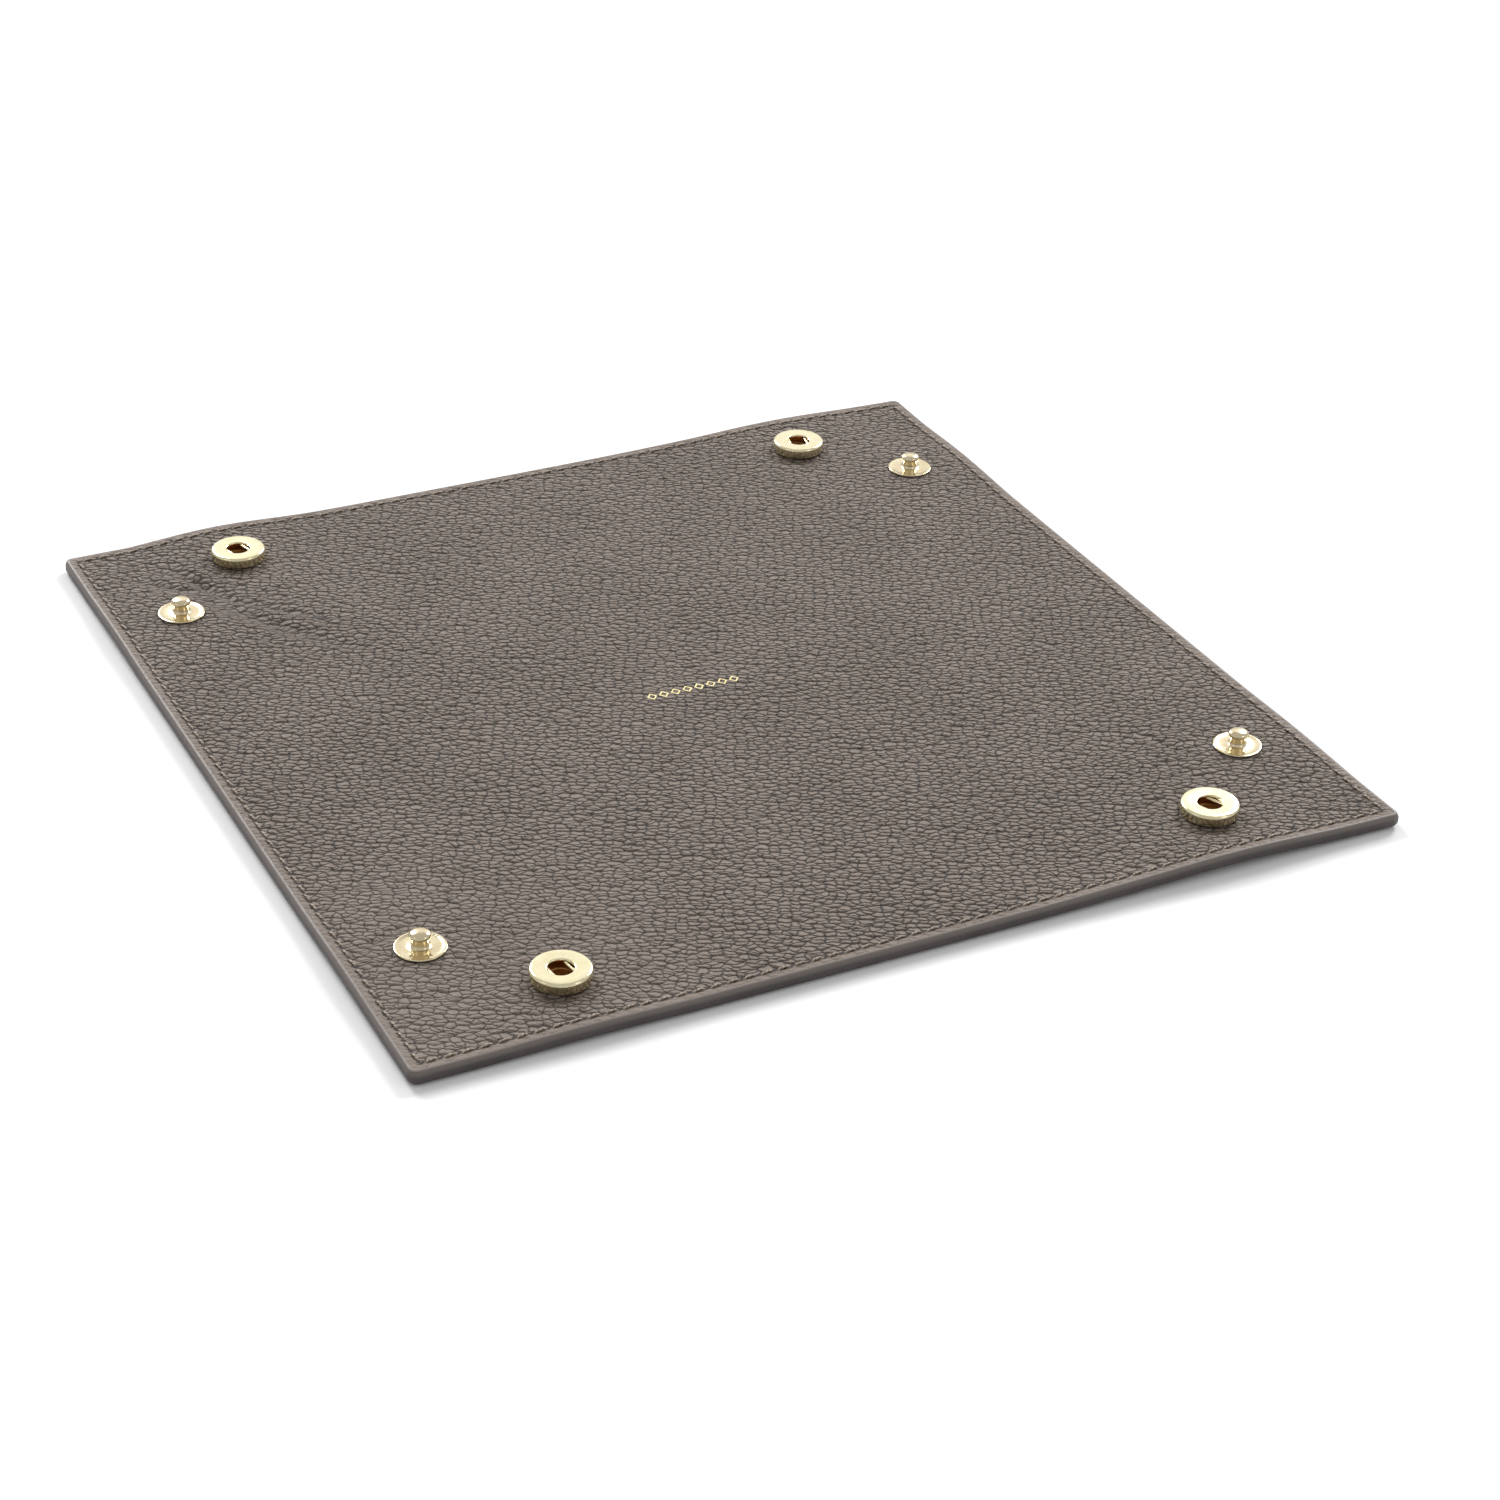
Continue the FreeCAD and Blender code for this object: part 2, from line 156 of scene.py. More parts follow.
def relief(x, y):
    """The face leather's own relief: furrows, the pull of the seam, and the dimples at the snaps."""
    z = creases(x, y)
    edge = HALF - np.maximum(np.abs(x), np.abs(y))
    # the seam pulls the leather in, and lifts the strip outside it
    z -= 0.16 * ridge(edge, INSET, 0.75)
    z += 0.05 * ridge(edge, 1.5, 0.5)
    for places, bare, radius, depth, wide in DENTS:
        for cx, cy in places.values():
            d = np.hypot(x - cx, y - cy)
            z = z * smooth((d - bare) / 2.0) - depth * ridge(d, radius, wide)
    rng = np.random.default_rng(5)
    for _ in range(WAVES):
        cx, cy = rng.uniform(-100, 100, 2)
        wide, tall = rng.uniform(5, 18, 2)
        height = rng.uniform(-WAVE_HEIGHT, WAVE_HEIGHT)
        z += height * bump_at(x, y, cx, cy, wide, tall, rng.uniform(0, 180))
    return z


def top_at(x, y):
    """Height of the face leather at a place, in millimetres."""
    x, y = np.asarray(x, float), np.asarray(y, float)
    # the relief ends level at the painted edge
    fade = smooth((HALF - ROUND - np.maximum(np.abs(x), np.abs(y))) / 0.8)
    # under each socket the leather is punched out for the post, and the stud's head goes in there
    punched = sum(np.hypot(x - cx, y - cy) < PUNCH for cx, cy in SOCKETS.values())
    return TOP_Z + lift(x, y) + relief(x, y) * fade - PUNCH_DEPTH * punched


def low_at(x, y):
    """Height of the lining's underside at a place, in millimetres."""
    x, y = np.asarray(x, float), np.asarray(y, float)
    return LOW_Z + lift(x, y)


# ---------------------------------------------------------------- the leather, as thirteen skins
FLOOR_STEP, CORNER_STEP = 1.0, 0.62     # spacing of the mesh lines on the floor, and outside it


def grid_lines():
    """Plan positions of the mesh lines: close together in the corners, and exactly on every fold."""
    marks = [0.0, CREASE, FOLD, FOLD + BEND, HALF - ROUND - TIP, HALF - ROUND]
    line = [0.0]
    for a, b in zip(marks, marks[1:]):
        step = FLOOR_STEP if b == CREASE else CORNER_STEP
        n = max(1, round((b - a) / step))
        line += [a + (b - a) * (i + 1) / n for i in range(n)]
    return np.array([-v for v in line[:0:-1]] + line)


LINES = grid_lines()
N = len(LINES)
UNDER = N * N                # the underside's points come after the top's
GX, GY = np.meshgrid(LINES, LINES, indexing="ij")


def vertex(i, j):
    """Number of a grid point on the top."""
    return i * N + j


def rounded(x, y):
    """Moves the grid's corners in, so that its outline has round corners."""
    c = HALF - ROUND - TIP
    s, t = np.clip((np.abs(x) - c) / TIP, 0, 1), np.clip((np.abs(y) - c) / TIP, 0, 1)
    in_corner = (s > 0) & (t > 0)
    ox = np.where(in_corner, c + TIP * s * np.sqrt(1 - t * t / 2), np.abs(x))
    oy = np.where(in_corner, c + TIP * t * np.sqrt(1 - s * s / 2), np.abs(y))
    return np.sign(x) * ox, np.sign(y) * oy


PX, PY = rounded(GX, GY)
TOP = np.stack([PX, PY, top_at(PX, PY)], axis=-1)
LOW = np.stack([PX, PY, low_at(PX, PY)], axis=-1)


def region(cx, cy):
    """The panel that a place belongs to."""
    ax, ay = abs(cx), abs(cy)
    side_x, side_y = ("left" if cx < 0 else "right"), ("front" if cy < 0 else "back")
    corner = side_y + "_" + side_x
    if ax < FOLD and ay < FOLD:
        if ay > FOLD - BEND and ax < FOLD - BEND:
            return "wall_" + side_y
        if ax > FOLD - BEND and ay < FOLD - BEND:
            return "wall_" + side_x
        return "floor"
    if ay > FOLD and ax < CREASE:
        return "wall_" + side_y
    if ax > FOLD and ay < CREASE:
        return "wall_" + side_x
    return ("flap_socket_" if ay > ax else "flap_stud_") + corner


def perimeter():
    """Grid indices round the outline, anticlockwise, and the outward direction at each."""
    ring = [(i, 0) for i in range(N - 1)] + [(N - 1, j) for j in range(N - 1)]
    ring += [(i, N - 1) for i in range(N - 1, 0, -1)] + [(0, j) for j in range(N - 1, 0, -1)]
    out = []
    c = HALF - ROUND - TIP
    for i, j in ring:
        x, y = PX[i, j], PY[i, j]
        nx = 0.0 if abs(GX[i, j]) < c else max(abs(x) - c, 0.0) * np.sign(x)
        ny = 0.0 if abs(GY[i, j]) < c else max(abs(y) - c, 0.0) * np.sign(y)
        size = math.hypot(nx, ny)
        out.append((nx / size, ny / size))
    return ring, out


RING, OUTWARD = perimeter()
COUNT = len(RING)
THICK = TOP_Z - LOW_Z
SQUARENESS = 0.85           # below 1 the painted edge is fuller than a round one


def edge_section():
    """Section of the painted edge, as (outward, down) from the top rim: rounded above and below."""
    turns = [math.pi / 2 * k / 6 for k in range(1, 7)]
    above = [(ROUND * math.sin(a) ** SQUARENESS, ROUND * 1.1 * (1 - math.cos(a))) for a in turns]
    below = [(ROUND * math.sin(a) ** SQUARENESS, THICK - ROUND * 0.9 * (1 - math.cos(a))) for a in turns]
    return above + [(ROUND + 0.02, THICK * 0.55)] + below[::-1]


EDGE = edge_section()


def whole_sheet():
    """Points and faces of the whole sheet, each face with its panel and its finish."""
    rings = []
    for out, down in EDGE:
        share = down / THICK
        for (i, j), (nx, ny) in zip(RING, OUTWARD):
            z = TOP[i, j, 2] * (1 - share) + LOW[i, j, 2] * share
            rings.append((PX[i, j] + nx * out, PY[i, j] + ny * out, z))
    points = np.concatenate([TOP.reshape(-1, 3), LOW.reshape(-1, 3), np.array(rings)])
    # the flat sheet, on which the patterns of the materials lie
    rest = points.copy()
    rest[:UNDER, 2] = TOP_Z
    rest[UNDER:2 * UNDER, 2] = LOW_Z
    rest[2 * UNDER:, 2] = np.repeat([TOP_Z - down for _, down in EDGE], COUNT)

    faces, panels, finish = [], [], []
    for i in range(N - 1):
        for j in range(N - 1):
            cx, cy = (LINES[i] + LINES[i + 1]) / 2, (LINES[j] + LINES[j + 1]) / 2
            on_pinch = abs(abs(cx) - abs(cy)) < 1e-6 and abs(cx) > CREASE
            a, b, c, d = vertex(i, j), vertex(i + 1, j), vertex(i + 1, j + 1), vertex(i, j + 1)
            if on_pinch and cx * cy > 0:
                parts = [(a, b, c), (a, c, d)]
            elif on_pinch:
                parts = [(a, b, d), (b, c, d)]
            else:
                parts = [(a, b, c, d)]
            for face in parts:
                panel = region(np.mean([LINES[v // N] for v in face]), np.mean([LINES[v % N] for v in face]))
                faces += [face, tuple(v + UNDER for v in reversed(face))]
                panels += [panel, panel]
                finish += [FACE_SIDE, LINED]
    loops = [[vertex(i, j) for i, j in RING]]
    loops += [[2 * UNDER + r * COUNT + k for k in range(COUNT)] for r in range(len(EDGE))]
    loops += [[vertex(i, j) + UNDER for i, j in RING]]
    for upper, lower in zip(loops, loops[1:]):
        for k in range(COUNT):
            n = (k + 1) % COUNT
            (i1, j1), (i2, j2) = RING[k], RING[n]
            faces.append((upper[k], lower[k], lower[n], upper[n]))
            panels.append(region((LINES[i1] + LINES[i2]) / 2, (LINES[j1] + LINES[j2]) / 2))
            finish.append(PAINTED)
    return points, rest, faces, panels, finish


def vertex_normals(points, faces):
    """Area-weighted normals of the whole sheet, so that panels meet without a visible line."""
    normals = np.zeros_like(points)
    for size in (3, 4):
        block = np.array([f for f in faces if len(f) == size])
        p = points[block]
        if size == 4:
            n = np.cross(p[:, 2] - p[:, 0], p[:, 3] - p[:, 1])
        else:
            n = np.cross(p[:, 1] - p[:, 0], p[:, 2] - p[:, 0])
        for k in range(size):
            np.add.at(normals, block[:, k], n)
    return normals / np.maximum(np.linalg.norm(normals, axis=1, keepdims=True), 1e-12)


def link(name, points, faces, materials, finish=None, rest=None, normals=None):
    """A mesh object from millimetre points, with its resting coordinates kept for its patterns."""
    mesh = bpy.data.meshes.new(name)
    mesh.from_pydata((np.asarray(points, float) * MM).tolist(), [], [list(map(int, f)) for f in faces])
    mesh.update()
    for m in materials:
        mesh.materials.append(m)
    if finish is not None:
        mesh.polygons.foreach_set("material_index", np.asarray(finish, np.int32))
    mesh.polygons.foreach_set("use_smooth", np.ones(len(mesh.polygons), bool))
    flat = mesh.attributes.new("rest_mm", "FLOAT_VECTOR", "POINT")
    flat.data.foreach_set("vector", np.asarray(points if rest is None else rest, np.float32).ravel())
    if normals is not None:
        mesh.normals_split_custom_set_from_vertices(np.asarray(normals, float).tolist())
    obj = bpy.data.objects.new(name, mesh)
    bpy.context.scene.collection.objects.link(obj)
    return obj


# ---------------------------------------------------------------- materials
class Nodes:
    """A short way to build one material's node tree."""

    def __init__(self, name, base, rough, metal=0.0):
        self.material = bpy.data.materials.new(name)
        self.material.use_nodes = True
        self.tree = self.material.node_tree
        self.shader = self.tree.nodes["Principled BSDF"]
        self.shader.inputs["Base Color"].default_value = (*base, 1)
        self.shader.inputs["Roughness"].default_value = rough
        self.shader.inputs["Metallic"].default_value = metal

    def add(self, kind, inputs=None, **settings):
        """A new node, each of its inputs a value or the output of another node."""
        node = self.tree.nodes.new("ShaderNode" + kind)
        for key, value in settings.items():
            setattr(node, key, value)
        for key, value in (inputs or {}).items():
            if isinstance(value, bpy.types.NodeSocket):
                self.tree.links.new(value, node.inputs[key])
            else:
                node.inputs[key].default_value = value
        return node

    def math(self, operation, a, b=0.0, c=0.0):
        return self.add("Math", {0: a, 1: b, 2: c}, operation=operation).outputs[0]

    def ramp(self, value, low, high, to_low=0.0, to_high=1.0):
        """A smooth step between two values."""
        return self.add("MapRange", {0: value, 1: low, 2: high, 3: to_low, 4: to_high},
                        interpolation_type="SMOOTHSTEP").outputs[0]

    def mix(self, factor, a, b):
        """Colour a where the factor is 0, colour b where it is 1."""
        node = self.add("Mix", data_type="RGBA")
        for index, value in ((0, factor), (6, a), (7, b)):
            if isinstance(value, bpy.types.NodeSocket):
                self.tree.links.new(value, node.inputs[index])
            else:
                node.inputs[index].default_value = value
        return node.outputs[2]

    def place(self):
        """The place on the flat sheet, in millimetres, which a bend doesn't change."""
        return self.add("Attribute", attribute_name="rest_mm").outputs["Vector"]

    def noise(self, where, scale, detail=2.0, rough=0.5):
        return self.add("TexNoise", {"Vector": where, "Scale": scale, "Detail": detail,
                                     "Roughness": rough})

    def set(self, **links):
        """Feeds the shader's own inputs."""
        for key, value in links.items():
            self.tree.links.new(value, self.shader.inputs[key.replace("_", " ")])


STRETCHED, SIDEWAYS = (0.896, -0.444, 0.0), (0.444, 0.896, 0.0)     # the hide's two directions
FINE_CORNER = (-96.0, -96.0, 0.0)                                   # where its pebbles are finest
PEBBLES = {"Scale": 0.78, "Randomness": 0.95}                       # cells per millimetre


def pebbled_leather():
    """Taupe full-grain leather: domed pebbles with furrows between them, painted shade in the furrows and
    creases, smooth outside the seam.
    """
    n = Nodes("face leather", (0.15, 0.125, 0.11), 0.5)
    where = n.place()
    wander = n.noise(where, 0.5, 3.0)
    offset = n.add("VectorMath", {0: wander.outputs["Color"], 1: (0.5, 0.5, 0.5)}, operation="SUBTRACT")
    offset = n.add("VectorMath", {0: offset.outputs[0], "Scale": 1.7}, operation="SCALE")
    bent = n.add("VectorMath", {0: where, 1: offset.outputs[0]}, operation="ADD").outputs[0]
    # the hide was stretched a little along one direction, so its pebbles are longer that way
    along = n.add("VectorMath", {0: bent, 1: STRETCHED}, operation="DOT_PRODUCT").outputs["Value"]
    across = n.add("VectorMath", {0: bent, 1: SIDEWAYS}, operation="DOT_PRODUCT").outputs["Value"]
    along, across = n.math("MULTIPLY", along, 0.6), n.math("MULTIPLY", across, 1.12)
    flat = n.add("CombineXYZ", {0: along, 1: across}).outputs[0]
    cells = n.add("TexVoronoi", {"Vector": flat, **PEBBLES},
                  feature="DISTANCE_TO_EDGE", voronoi_dimensions="2D").outputs["Distance"]
    middle = n.add("TexVoronoi", {"Vector": flat, **PEBBLES},
                   feature="SMOOTH_F1", voronoi_dimensions="2D")
    middle.inputs["Smoothness"].default_value = 0.12
    small = n.add("TexVoronoi", {"Vector": flat, "Scale": 1.4, "Randomness": 1.0},
                  feature="DISTANCE_TO_EDGE", voronoi_dimensions="2D").outputs["Distance"]
    fine = n.noise(flat, 3.2, 3.0, 0.6).outputs["Fac"]
    patch = n.noise(where, 0.035, 2.0).outputs["Fac"]
    split = n.noise(flat, 0.3, 2.0).outputs["Fac"]
    # outside the seam the leather is pressed smooth
    away = n.add("SeparateXYZ", {0: n.add("VectorMath", {0: where}, operation="ABSOLUTE").outputs[0]})
    reach = n.math("MAXIMUM", away.outputs[0], away.outputs[1])
    seam_in, seam_out = HALF - INSET - 0.2, HALF - INSET + 0.9
    grain = n.ramp(reach, seam_in, seam_out, 1.0, 0.22)
    furrow = n.ramp(cells, 0.0, 0.13)
    dome = n.math("POWER", middle.outputs["Distance"], 1.8)
    wrinkle = n.math("MULTIPLY", n.ramp(small, 0.0, 0.2), n.ramp(split, 0.42, 0.62))
    height = n.math("MULTIPLY_ADD", dome, -3.6, n.math("MULTIPLY", furrow, 0.8))
    height = n.math("MULTIPLY_ADD", wrinkle, 0.2, height)
    height = n.math("MULTIPLY_ADD", fine, 0.14, height)
    # the hide is finer towards its front left corner
    coarse = n.add("VectorMath", {0: where, 1: FINE_CORNER}, operation="DISTANCE").outputs["Value"]
    coarse = n.ramp(coarse, 15.0, 85.0, 0.6, 1.0)
    height = n.math("MULTIPLY", height, n.math("MULTIPLY", grain, n.ramp(patch, 0.35, 0.65, 0.8, 1.0)))
    # down in a crease the grain is stretched flatter, and the colour there is darkened as painted shade
    crease = n.add("Attribute", attribute_name="crease").outputs["Fac"]
    height = n.math("MULTIPLY", height, n.math("MULTIPLY", coarse, n.ramp(crease, 0.0, 1.0, 1.0, 0.45)))
    bump = n.add("Bump", {"Height": height, "Strength": 1.0, "Distance": 0.00045})
    # painted shade: the colour darkens in the furrows between the pebbles and at the small wrinkles' edges,
    # but not outside the seam
    painted_furrow_shade = n.ramp(cells, 0.0, n.math("MULTIPLY", coarse, 0.15), 0.1, 1.0)
    painted_furrow_shade = n.math("MULTIPLY", painted_furrow_shade, n.ramp(small, 0.0, 0.08, 0.88, 1.0))
    painted_furrow_shade = n.math("MAXIMUM", painted_furrow_shade, n.ramp(reach, seam_in, seam_out))
    tone = n.mix(n.ramp(patch, 0.3, 0.7), (0.200, 0.160, 0.132, 1), (0.184, 0.146, 0.119, 1))
    tone = n.mix(n.ramp(fine, 0.25, 0.75), n.mix(0.2, tone, (0.09, 0.072, 0.062, 1)), tone)
    # painted shade: the colour darkens down in the creases
    tone = n.mix(n.ramp(crease, 0.1, 1.0, 0.0, 0.42), tone, (0.06, 0.046, 0.038, 1))
    dark = n.mix(painted_furrow_shade, (0.042, 0.032, 0.027, 1), tone)
    rough = n.math("MULTIPLY_ADD", painted_furrow_shade, -0.1, 0.66)
    n.set(Base_Color=dark, Roughness=rough, Normal=bump.outputs[0])
    n.shader.inputs["Specular IOR Level"].default_value = 0.28
    return n.material


def painted_edge():
    """Rounded edge paint: leather-coloured on the shoulder, darker and smooth down the side."""
    n = Nodes("edge paint", (0.10, 0.083, 0.076), 0.42)
    where = n.place()
    broad = n.noise(where, 0.12, 3.0).outputs["Fac"]
    fine = n.noise(where, 2.2, 3.0).outputs["Fac"]
    down = n.add("SeparateXYZ", {0: where}).outputs[2]
    side = n.mix(n.ramp(broad, 0.3, 0.7), (0.060, 0.049, 0.047, 1), (0.044, 0.036, 0.034, 1))
    tone = n.mix(n.ramp(down, TOP_Z - 1.3, TOP_Z - 0.15), side, (0.150, 0.124, 0.108, 1))
    height = n.math("MULTIPLY_ADD", broad, 0.6, n.math("MULTIPLY", fine, 0.12))
    bump = n.add("Bump", {"Height": height, "Strength": 0.5, "Distance": 0.0003})
    n.set(Base_Color=tone, Roughness=n.ramp(fine, 0.2, 0.8, 0.44, 0.58), Normal=bump.outputs[0])
    return n.material


def lining_leather():
    """Smooth lining leather with a tight fine grain."""
    n = Nodes("lining leather", (0.16, 0.135, 0.12), 0.6)
    where = n.place()
    grain = n.add("TexVoronoi", {"Vector": where, "Scale": 2.0, "Randomness": 1.0},
                  feature="DISTANCE_TO_EDGE").outputs["Distance"]
    broad = n.noise(where, 0.05, 3.0).outputs["Fac"]
    tone = n.mix(n.ramp(broad, 0.3, 0.7), (0.125, 0.104, 0.091, 1), (0.105, 0.086, 0.076, 1))
    tone = n.mix(n.ramp(grain, 0.0, 0.12), (0.06, 0.048, 0.042, 1), tone)
    bump = n.add("Bump", {"Height": n.ramp(grain, 0.0, 0.3), "Strength": 0.6, "Distance": 0.00006})
    n.set(Base_Color=tone, Roughness=n.ramp(broad, 0.2, 0.8, 0.52, 0.66), Normal=bump.outputs[0])
    return n.material


def waxed_thread():
    """Two twisted plies of waxed thread, a shade lighter than the leather, with painted shade in the grooves
    between the plies.
    """
    n = Nodes("waxed thread", (0.42, 0.36, 0.3), 0.55)
    turn = n.add("Attribute", attribute_name="twist").outputs["Fac"]
    ply = n.ramp(n.math("SINE", turn), -0.9, 0.6)
    stray = n.noise(n.place(), 1.1, 2.0).outputs["Fac"]
    tone = n.mix(n.ramp(stray, 0.3, 0.7), (0.39, 0.315, 0.242, 1), (0.29, 0.232, 0.178, 1))
    # painted shade in the grooves between the plies
    tone = n.mix(ply, (0.19, 0.15, 0.118, 1), tone)
    bump = n.add("Bump", {"Height": ply, "Strength": 0.8, "Distance": 0.0001})
    n.set(Base_Color=tone, Roughness=n.ramp(stray, 0.2, 0.8, 0.48, 0.62), Normal=bump.outputs[0])
    return n.material


def needle_hole_shade():
    """Painted shade: the near-black shadow inside a needle hole."""
    n = Nodes("needle hole", (0.02, 0.015, 0.012), 0.85)
    stray = n.noise(n.place(), 3.0).outputs["Fac"]
    tone = n.mix(stray, (0.012, 0.009, 0.008, 1), (0.04, 0.031, 0.027, 1))
    n.set(Base_Color=tone)
    return n.material


def plated_metal(name, light, dark, rough, brush=0.25):
    """Polished plate with a faint cloudiness and fine handling marks."""
    n = Nodes(name, light, rough, 1.0)
    where = n.place()
    cloud = n.noise(where, 0.35, 3.0).outputs["Fac"]
    marks = n.noise(where, 6.0, 4.0, 0.7).outputs["Fac"]
    tone = n.mix(n.ramp(cloud, 0.3, 0.75), (*light, 1), (*dark, 1))
    bump = n.add("Bump", {"Height": marks, "Strength": brush, "Distance": 0.00002})
    n.set(Base_Color=tone, Roughness=n.ramp(marks, 0.3, 0.75, rough * 0.8, rough * 1.35),
          Normal=bump.outputs[0])
    return n.material


LEATHER, PAINT, LINING = pebbled_leather(), painted_edge(), lining_leather()
# HOLE is painted shade for the needle holes
THREAD, HOLE = waxed_thread(), needle_hole_shade()
GOLD = plated_metal("champagne plate", (0.90, 0.83, 0.57), (0.85, 0.76, 0.48), 0.16)
# the stud's plate is the champagne plate made darker, as painted shade that dims the lamps' reflection in
# its flat flange
STUD = plated_metal("shaded stud plate", (0.80, 0.69, 0.47), (0.73, 0.61, 0.39), 0.15)
INNER = plated_metal("inner brass", (0.85, 0.48, 0.18), (0.60, 0.30, 0.10), 0.45)
WIRE = plated_metal("spring wire", (0.85, 0.74, 0.50), (0.70, 0.55, 0.32), 0.2)
FOIL = plated_metal("pressed foil", (0.86, 0.76, 0.42), (0.72, 0.60, 0.30), 0.34, 0.6)
BOARD = lining_leather()    # the board's own copy, as it is a slot of its own


def attach(obj, panel):
    """Ties a floor piece to the floor's body; a wall or flap piece only has its placement baked into its
    mesh.
    """
    if panel == "floor":
        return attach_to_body(obj, "floor")
    if panel.startswith("wall_"):
        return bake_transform(obj)
    corner = panel.split("_", 2)[2]
    wall, socket = "wall_" + corner.split("_")[0], "flap_socket_" + corner
    if panel == socket:
        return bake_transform(obj)
    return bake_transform(obj)


# ---------------------------------------------------------------- leather skins
points, rest, faces, panels, finish = whole_sheet()
normals = vertex_normals(points, faces)
by_panel = {}
for face, panel, kind in zip(faces, panels, finish):
    by_panel.setdefault(panel, []).append((face, kind))
# Hidden tabs at each corner: places along x, the two sides in y, and how far under the face they lie.
FLOOR_TAB = ((54.9, 63.2), 54.9, 63.2, 0.15)
WALL_TAB = (np.linspace(57.5, 69.5, 13), 55.5, 59.9, 0.3)
TAB_LIFT = 0.3              # how far a tab lies above the lining's underside


def cut_walls(members):
    """Faces that close a panel where it was cut from its neighbours."""
    directed = set()
    for face, _ in members:
        for a, b in zip(face, face[1:] + face[:1]):
            directed.add((a, b))
    extra = []
    for a, b in directed:
        if (b, a) not in directed and a < UNDER and b < UNDER:
            extra.append(((b, a, a + UNDER, b + UNDER), LINED))
    used = {v for face, kind in members if kind == PAINTED for v in face}
    for k, (i, j) in enumerate(RING):
        column = [2 * UNDER + r * COUNT + k for r in range(len(EDGE))]
        if column[0] not in used:
            continue
        down = (column[0], column[1]) in directed
        up = (column[1], column[0]) in directed
        if down != up:
            ends = [vertex(i, j)] + column + [vertex(i, j) + UNDER]
            extra.append((tuple(ends if up else ends[::-1]), LINED))
    return extra


def corner_tab(points, faces, turned_to, corner, along, a, b, cover):
    """A strip of leather hidden in the flat sheet at one corner, which closes the folded box there."""
    sx, sy = CORNERS[corner]
    start = len(points)
    slant = 0.707               # the strip's edges are shaded as if rounded
    for x in along:
        for y, side, top in ((a, -1, False), (b, 1, False), (b, 1, True), (a, -1, True)):
            px, py = sx * x, sy * y
            z = float(top_at(px, py)) - cover if top else float(low_at(px, py)) + TAB_LIFT
            points.append((px, py, z))
            turned_to.append((0.0, sy * side * slant, slant if top else -slant))
    strip = [(start + 3, start + 2, start + 1, start)]
    for r in range(len(along) - 1):
        for k in range(4):
            n, here, there = (k + 1) % 4, start + 4 * r, start + 4 * (r + 1)
            strip.append((here + k, here + n, there + n, there + k))
    last = start + 4 * (len(along) - 1)
    strip.append((last, last + 1, last + 2, last + 3))
    faces += strip if sx * sy > 0 else [face[::-1] for face in strip]


for panel, members in by_panel.items():
    members = members + cut_walls(members)
    used = sorted({v for face, _ in members for v in face})
    index = {v: k for k, v in enumerate(used)}
    local = [tuple(index[v] for v in face) for face, _ in members]
    kinds = [kind for _, kind in members]
    where, resting, turned_to = points[used].tolist(), rest[used].tolist(), normals[used].tolist()
    tabs_from, added = len(where), []
    for corner in CORNERS:
        if panel == "floor":
            corner_tab(where, added, turned_to, corner, *FLOOR_TAB)
        if panel in ("wall_left", "wall_right") and corner.endswith(panel[5:]):
            corner_tab(where, added, turned_to, corner, *WALL_TAB)
    local += added
    kinds += [LINED] * len(added)
    resting += where[tabs_from:]
    skin = link("leather_" + panel, where, local, [LEATHER, PAINT, LINING], kinds, resting, turned_to)
    plan = np.array(where)
    depth = np.clip(creases(plan[:, 0], plan[:, 1]) / -DEEPEST, 0, 1)
    attribute = skin.data.attributes.new("crease", "FLOAT", "POINT")
    attribute.data.foreach_set("value", depth.astype(np.float32))
    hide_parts("face_" + panel, "lining_" + panel)
    attach(skin, panel)


# ---------------------------------------------------------------- stitching
LEAN, HOLE_LEAN = 9.0, 28.0     # degrees that a stitch and a needle hole lean from the seam
REACH = 1.36                    # half a stitch, seen from above
TWIST = 6.5                     # twist of the plies, radians per millimetre
# crown of a stitch, its clearance over the leather, and half its height: above and below the sheet
STITCH_ABOVE, STITCH_BELOW = (0.16, 0.07, 0.2), (0.03, 0.05, 0.1)


def stitch(rng, x, y, tangent, top):
    """One lockstitch as a soft tube that dives into its two needle holes."""
    side = (-tangent[1], tangent[0])
    lean = math.radians((LEAN if top else -LEAN) + rng.uniform(-3, 3))
    d = (tangent[0] * math.cos(lean) + side[0] * math.sin(lean),
         tangent[1] * math.cos(lean) + side[1] * math.sin(lean))
    e = (-d[1], d[0])
    reach = REACH + rng.uniform(-0.05, 0.05)
    rings, around = 11, 8
    crown, clear, half_tall = STITCH_ABOVE if top else STITCH_BELOW
    base, sign = (top_at, 1.0) if top else (low_at, -1.0)
    ring_points, twist = [], []
    for r in range(rings):
        v = -1 + 2 * r / (rings - 1)
        cx, cy = x + d[0] * v * reach, y + d[1] * v * reach
        rise = crown * (1 - v ** 2) + clear - 0.5 * abs(v) ** 7
        wide = 0.27 * (1 - 0.35 * v ** 4)
        tall = half_tall * (1 - 0.3 * v ** 4)
        z = float(base(cx, cy)) + sign * rise
        for k in range(around):
            a = 2 * math.pi * k / around
            ring_points.append((cx + e[0] * wide * math.cos(a), cy + e[1] * wide * math.cos(a),
                                z + tall * math.sin(a)))
            twist.append(v * reach * TWIST + a)
    quads = []
    for r in range(rings - 1):
        for k in range(around):
            n = (k + 1) % around
            here, there = r * around, (r + 1) * around
            quads.append((here + k, here + n, there + n, there + k))
    return ring_points, quads, twist


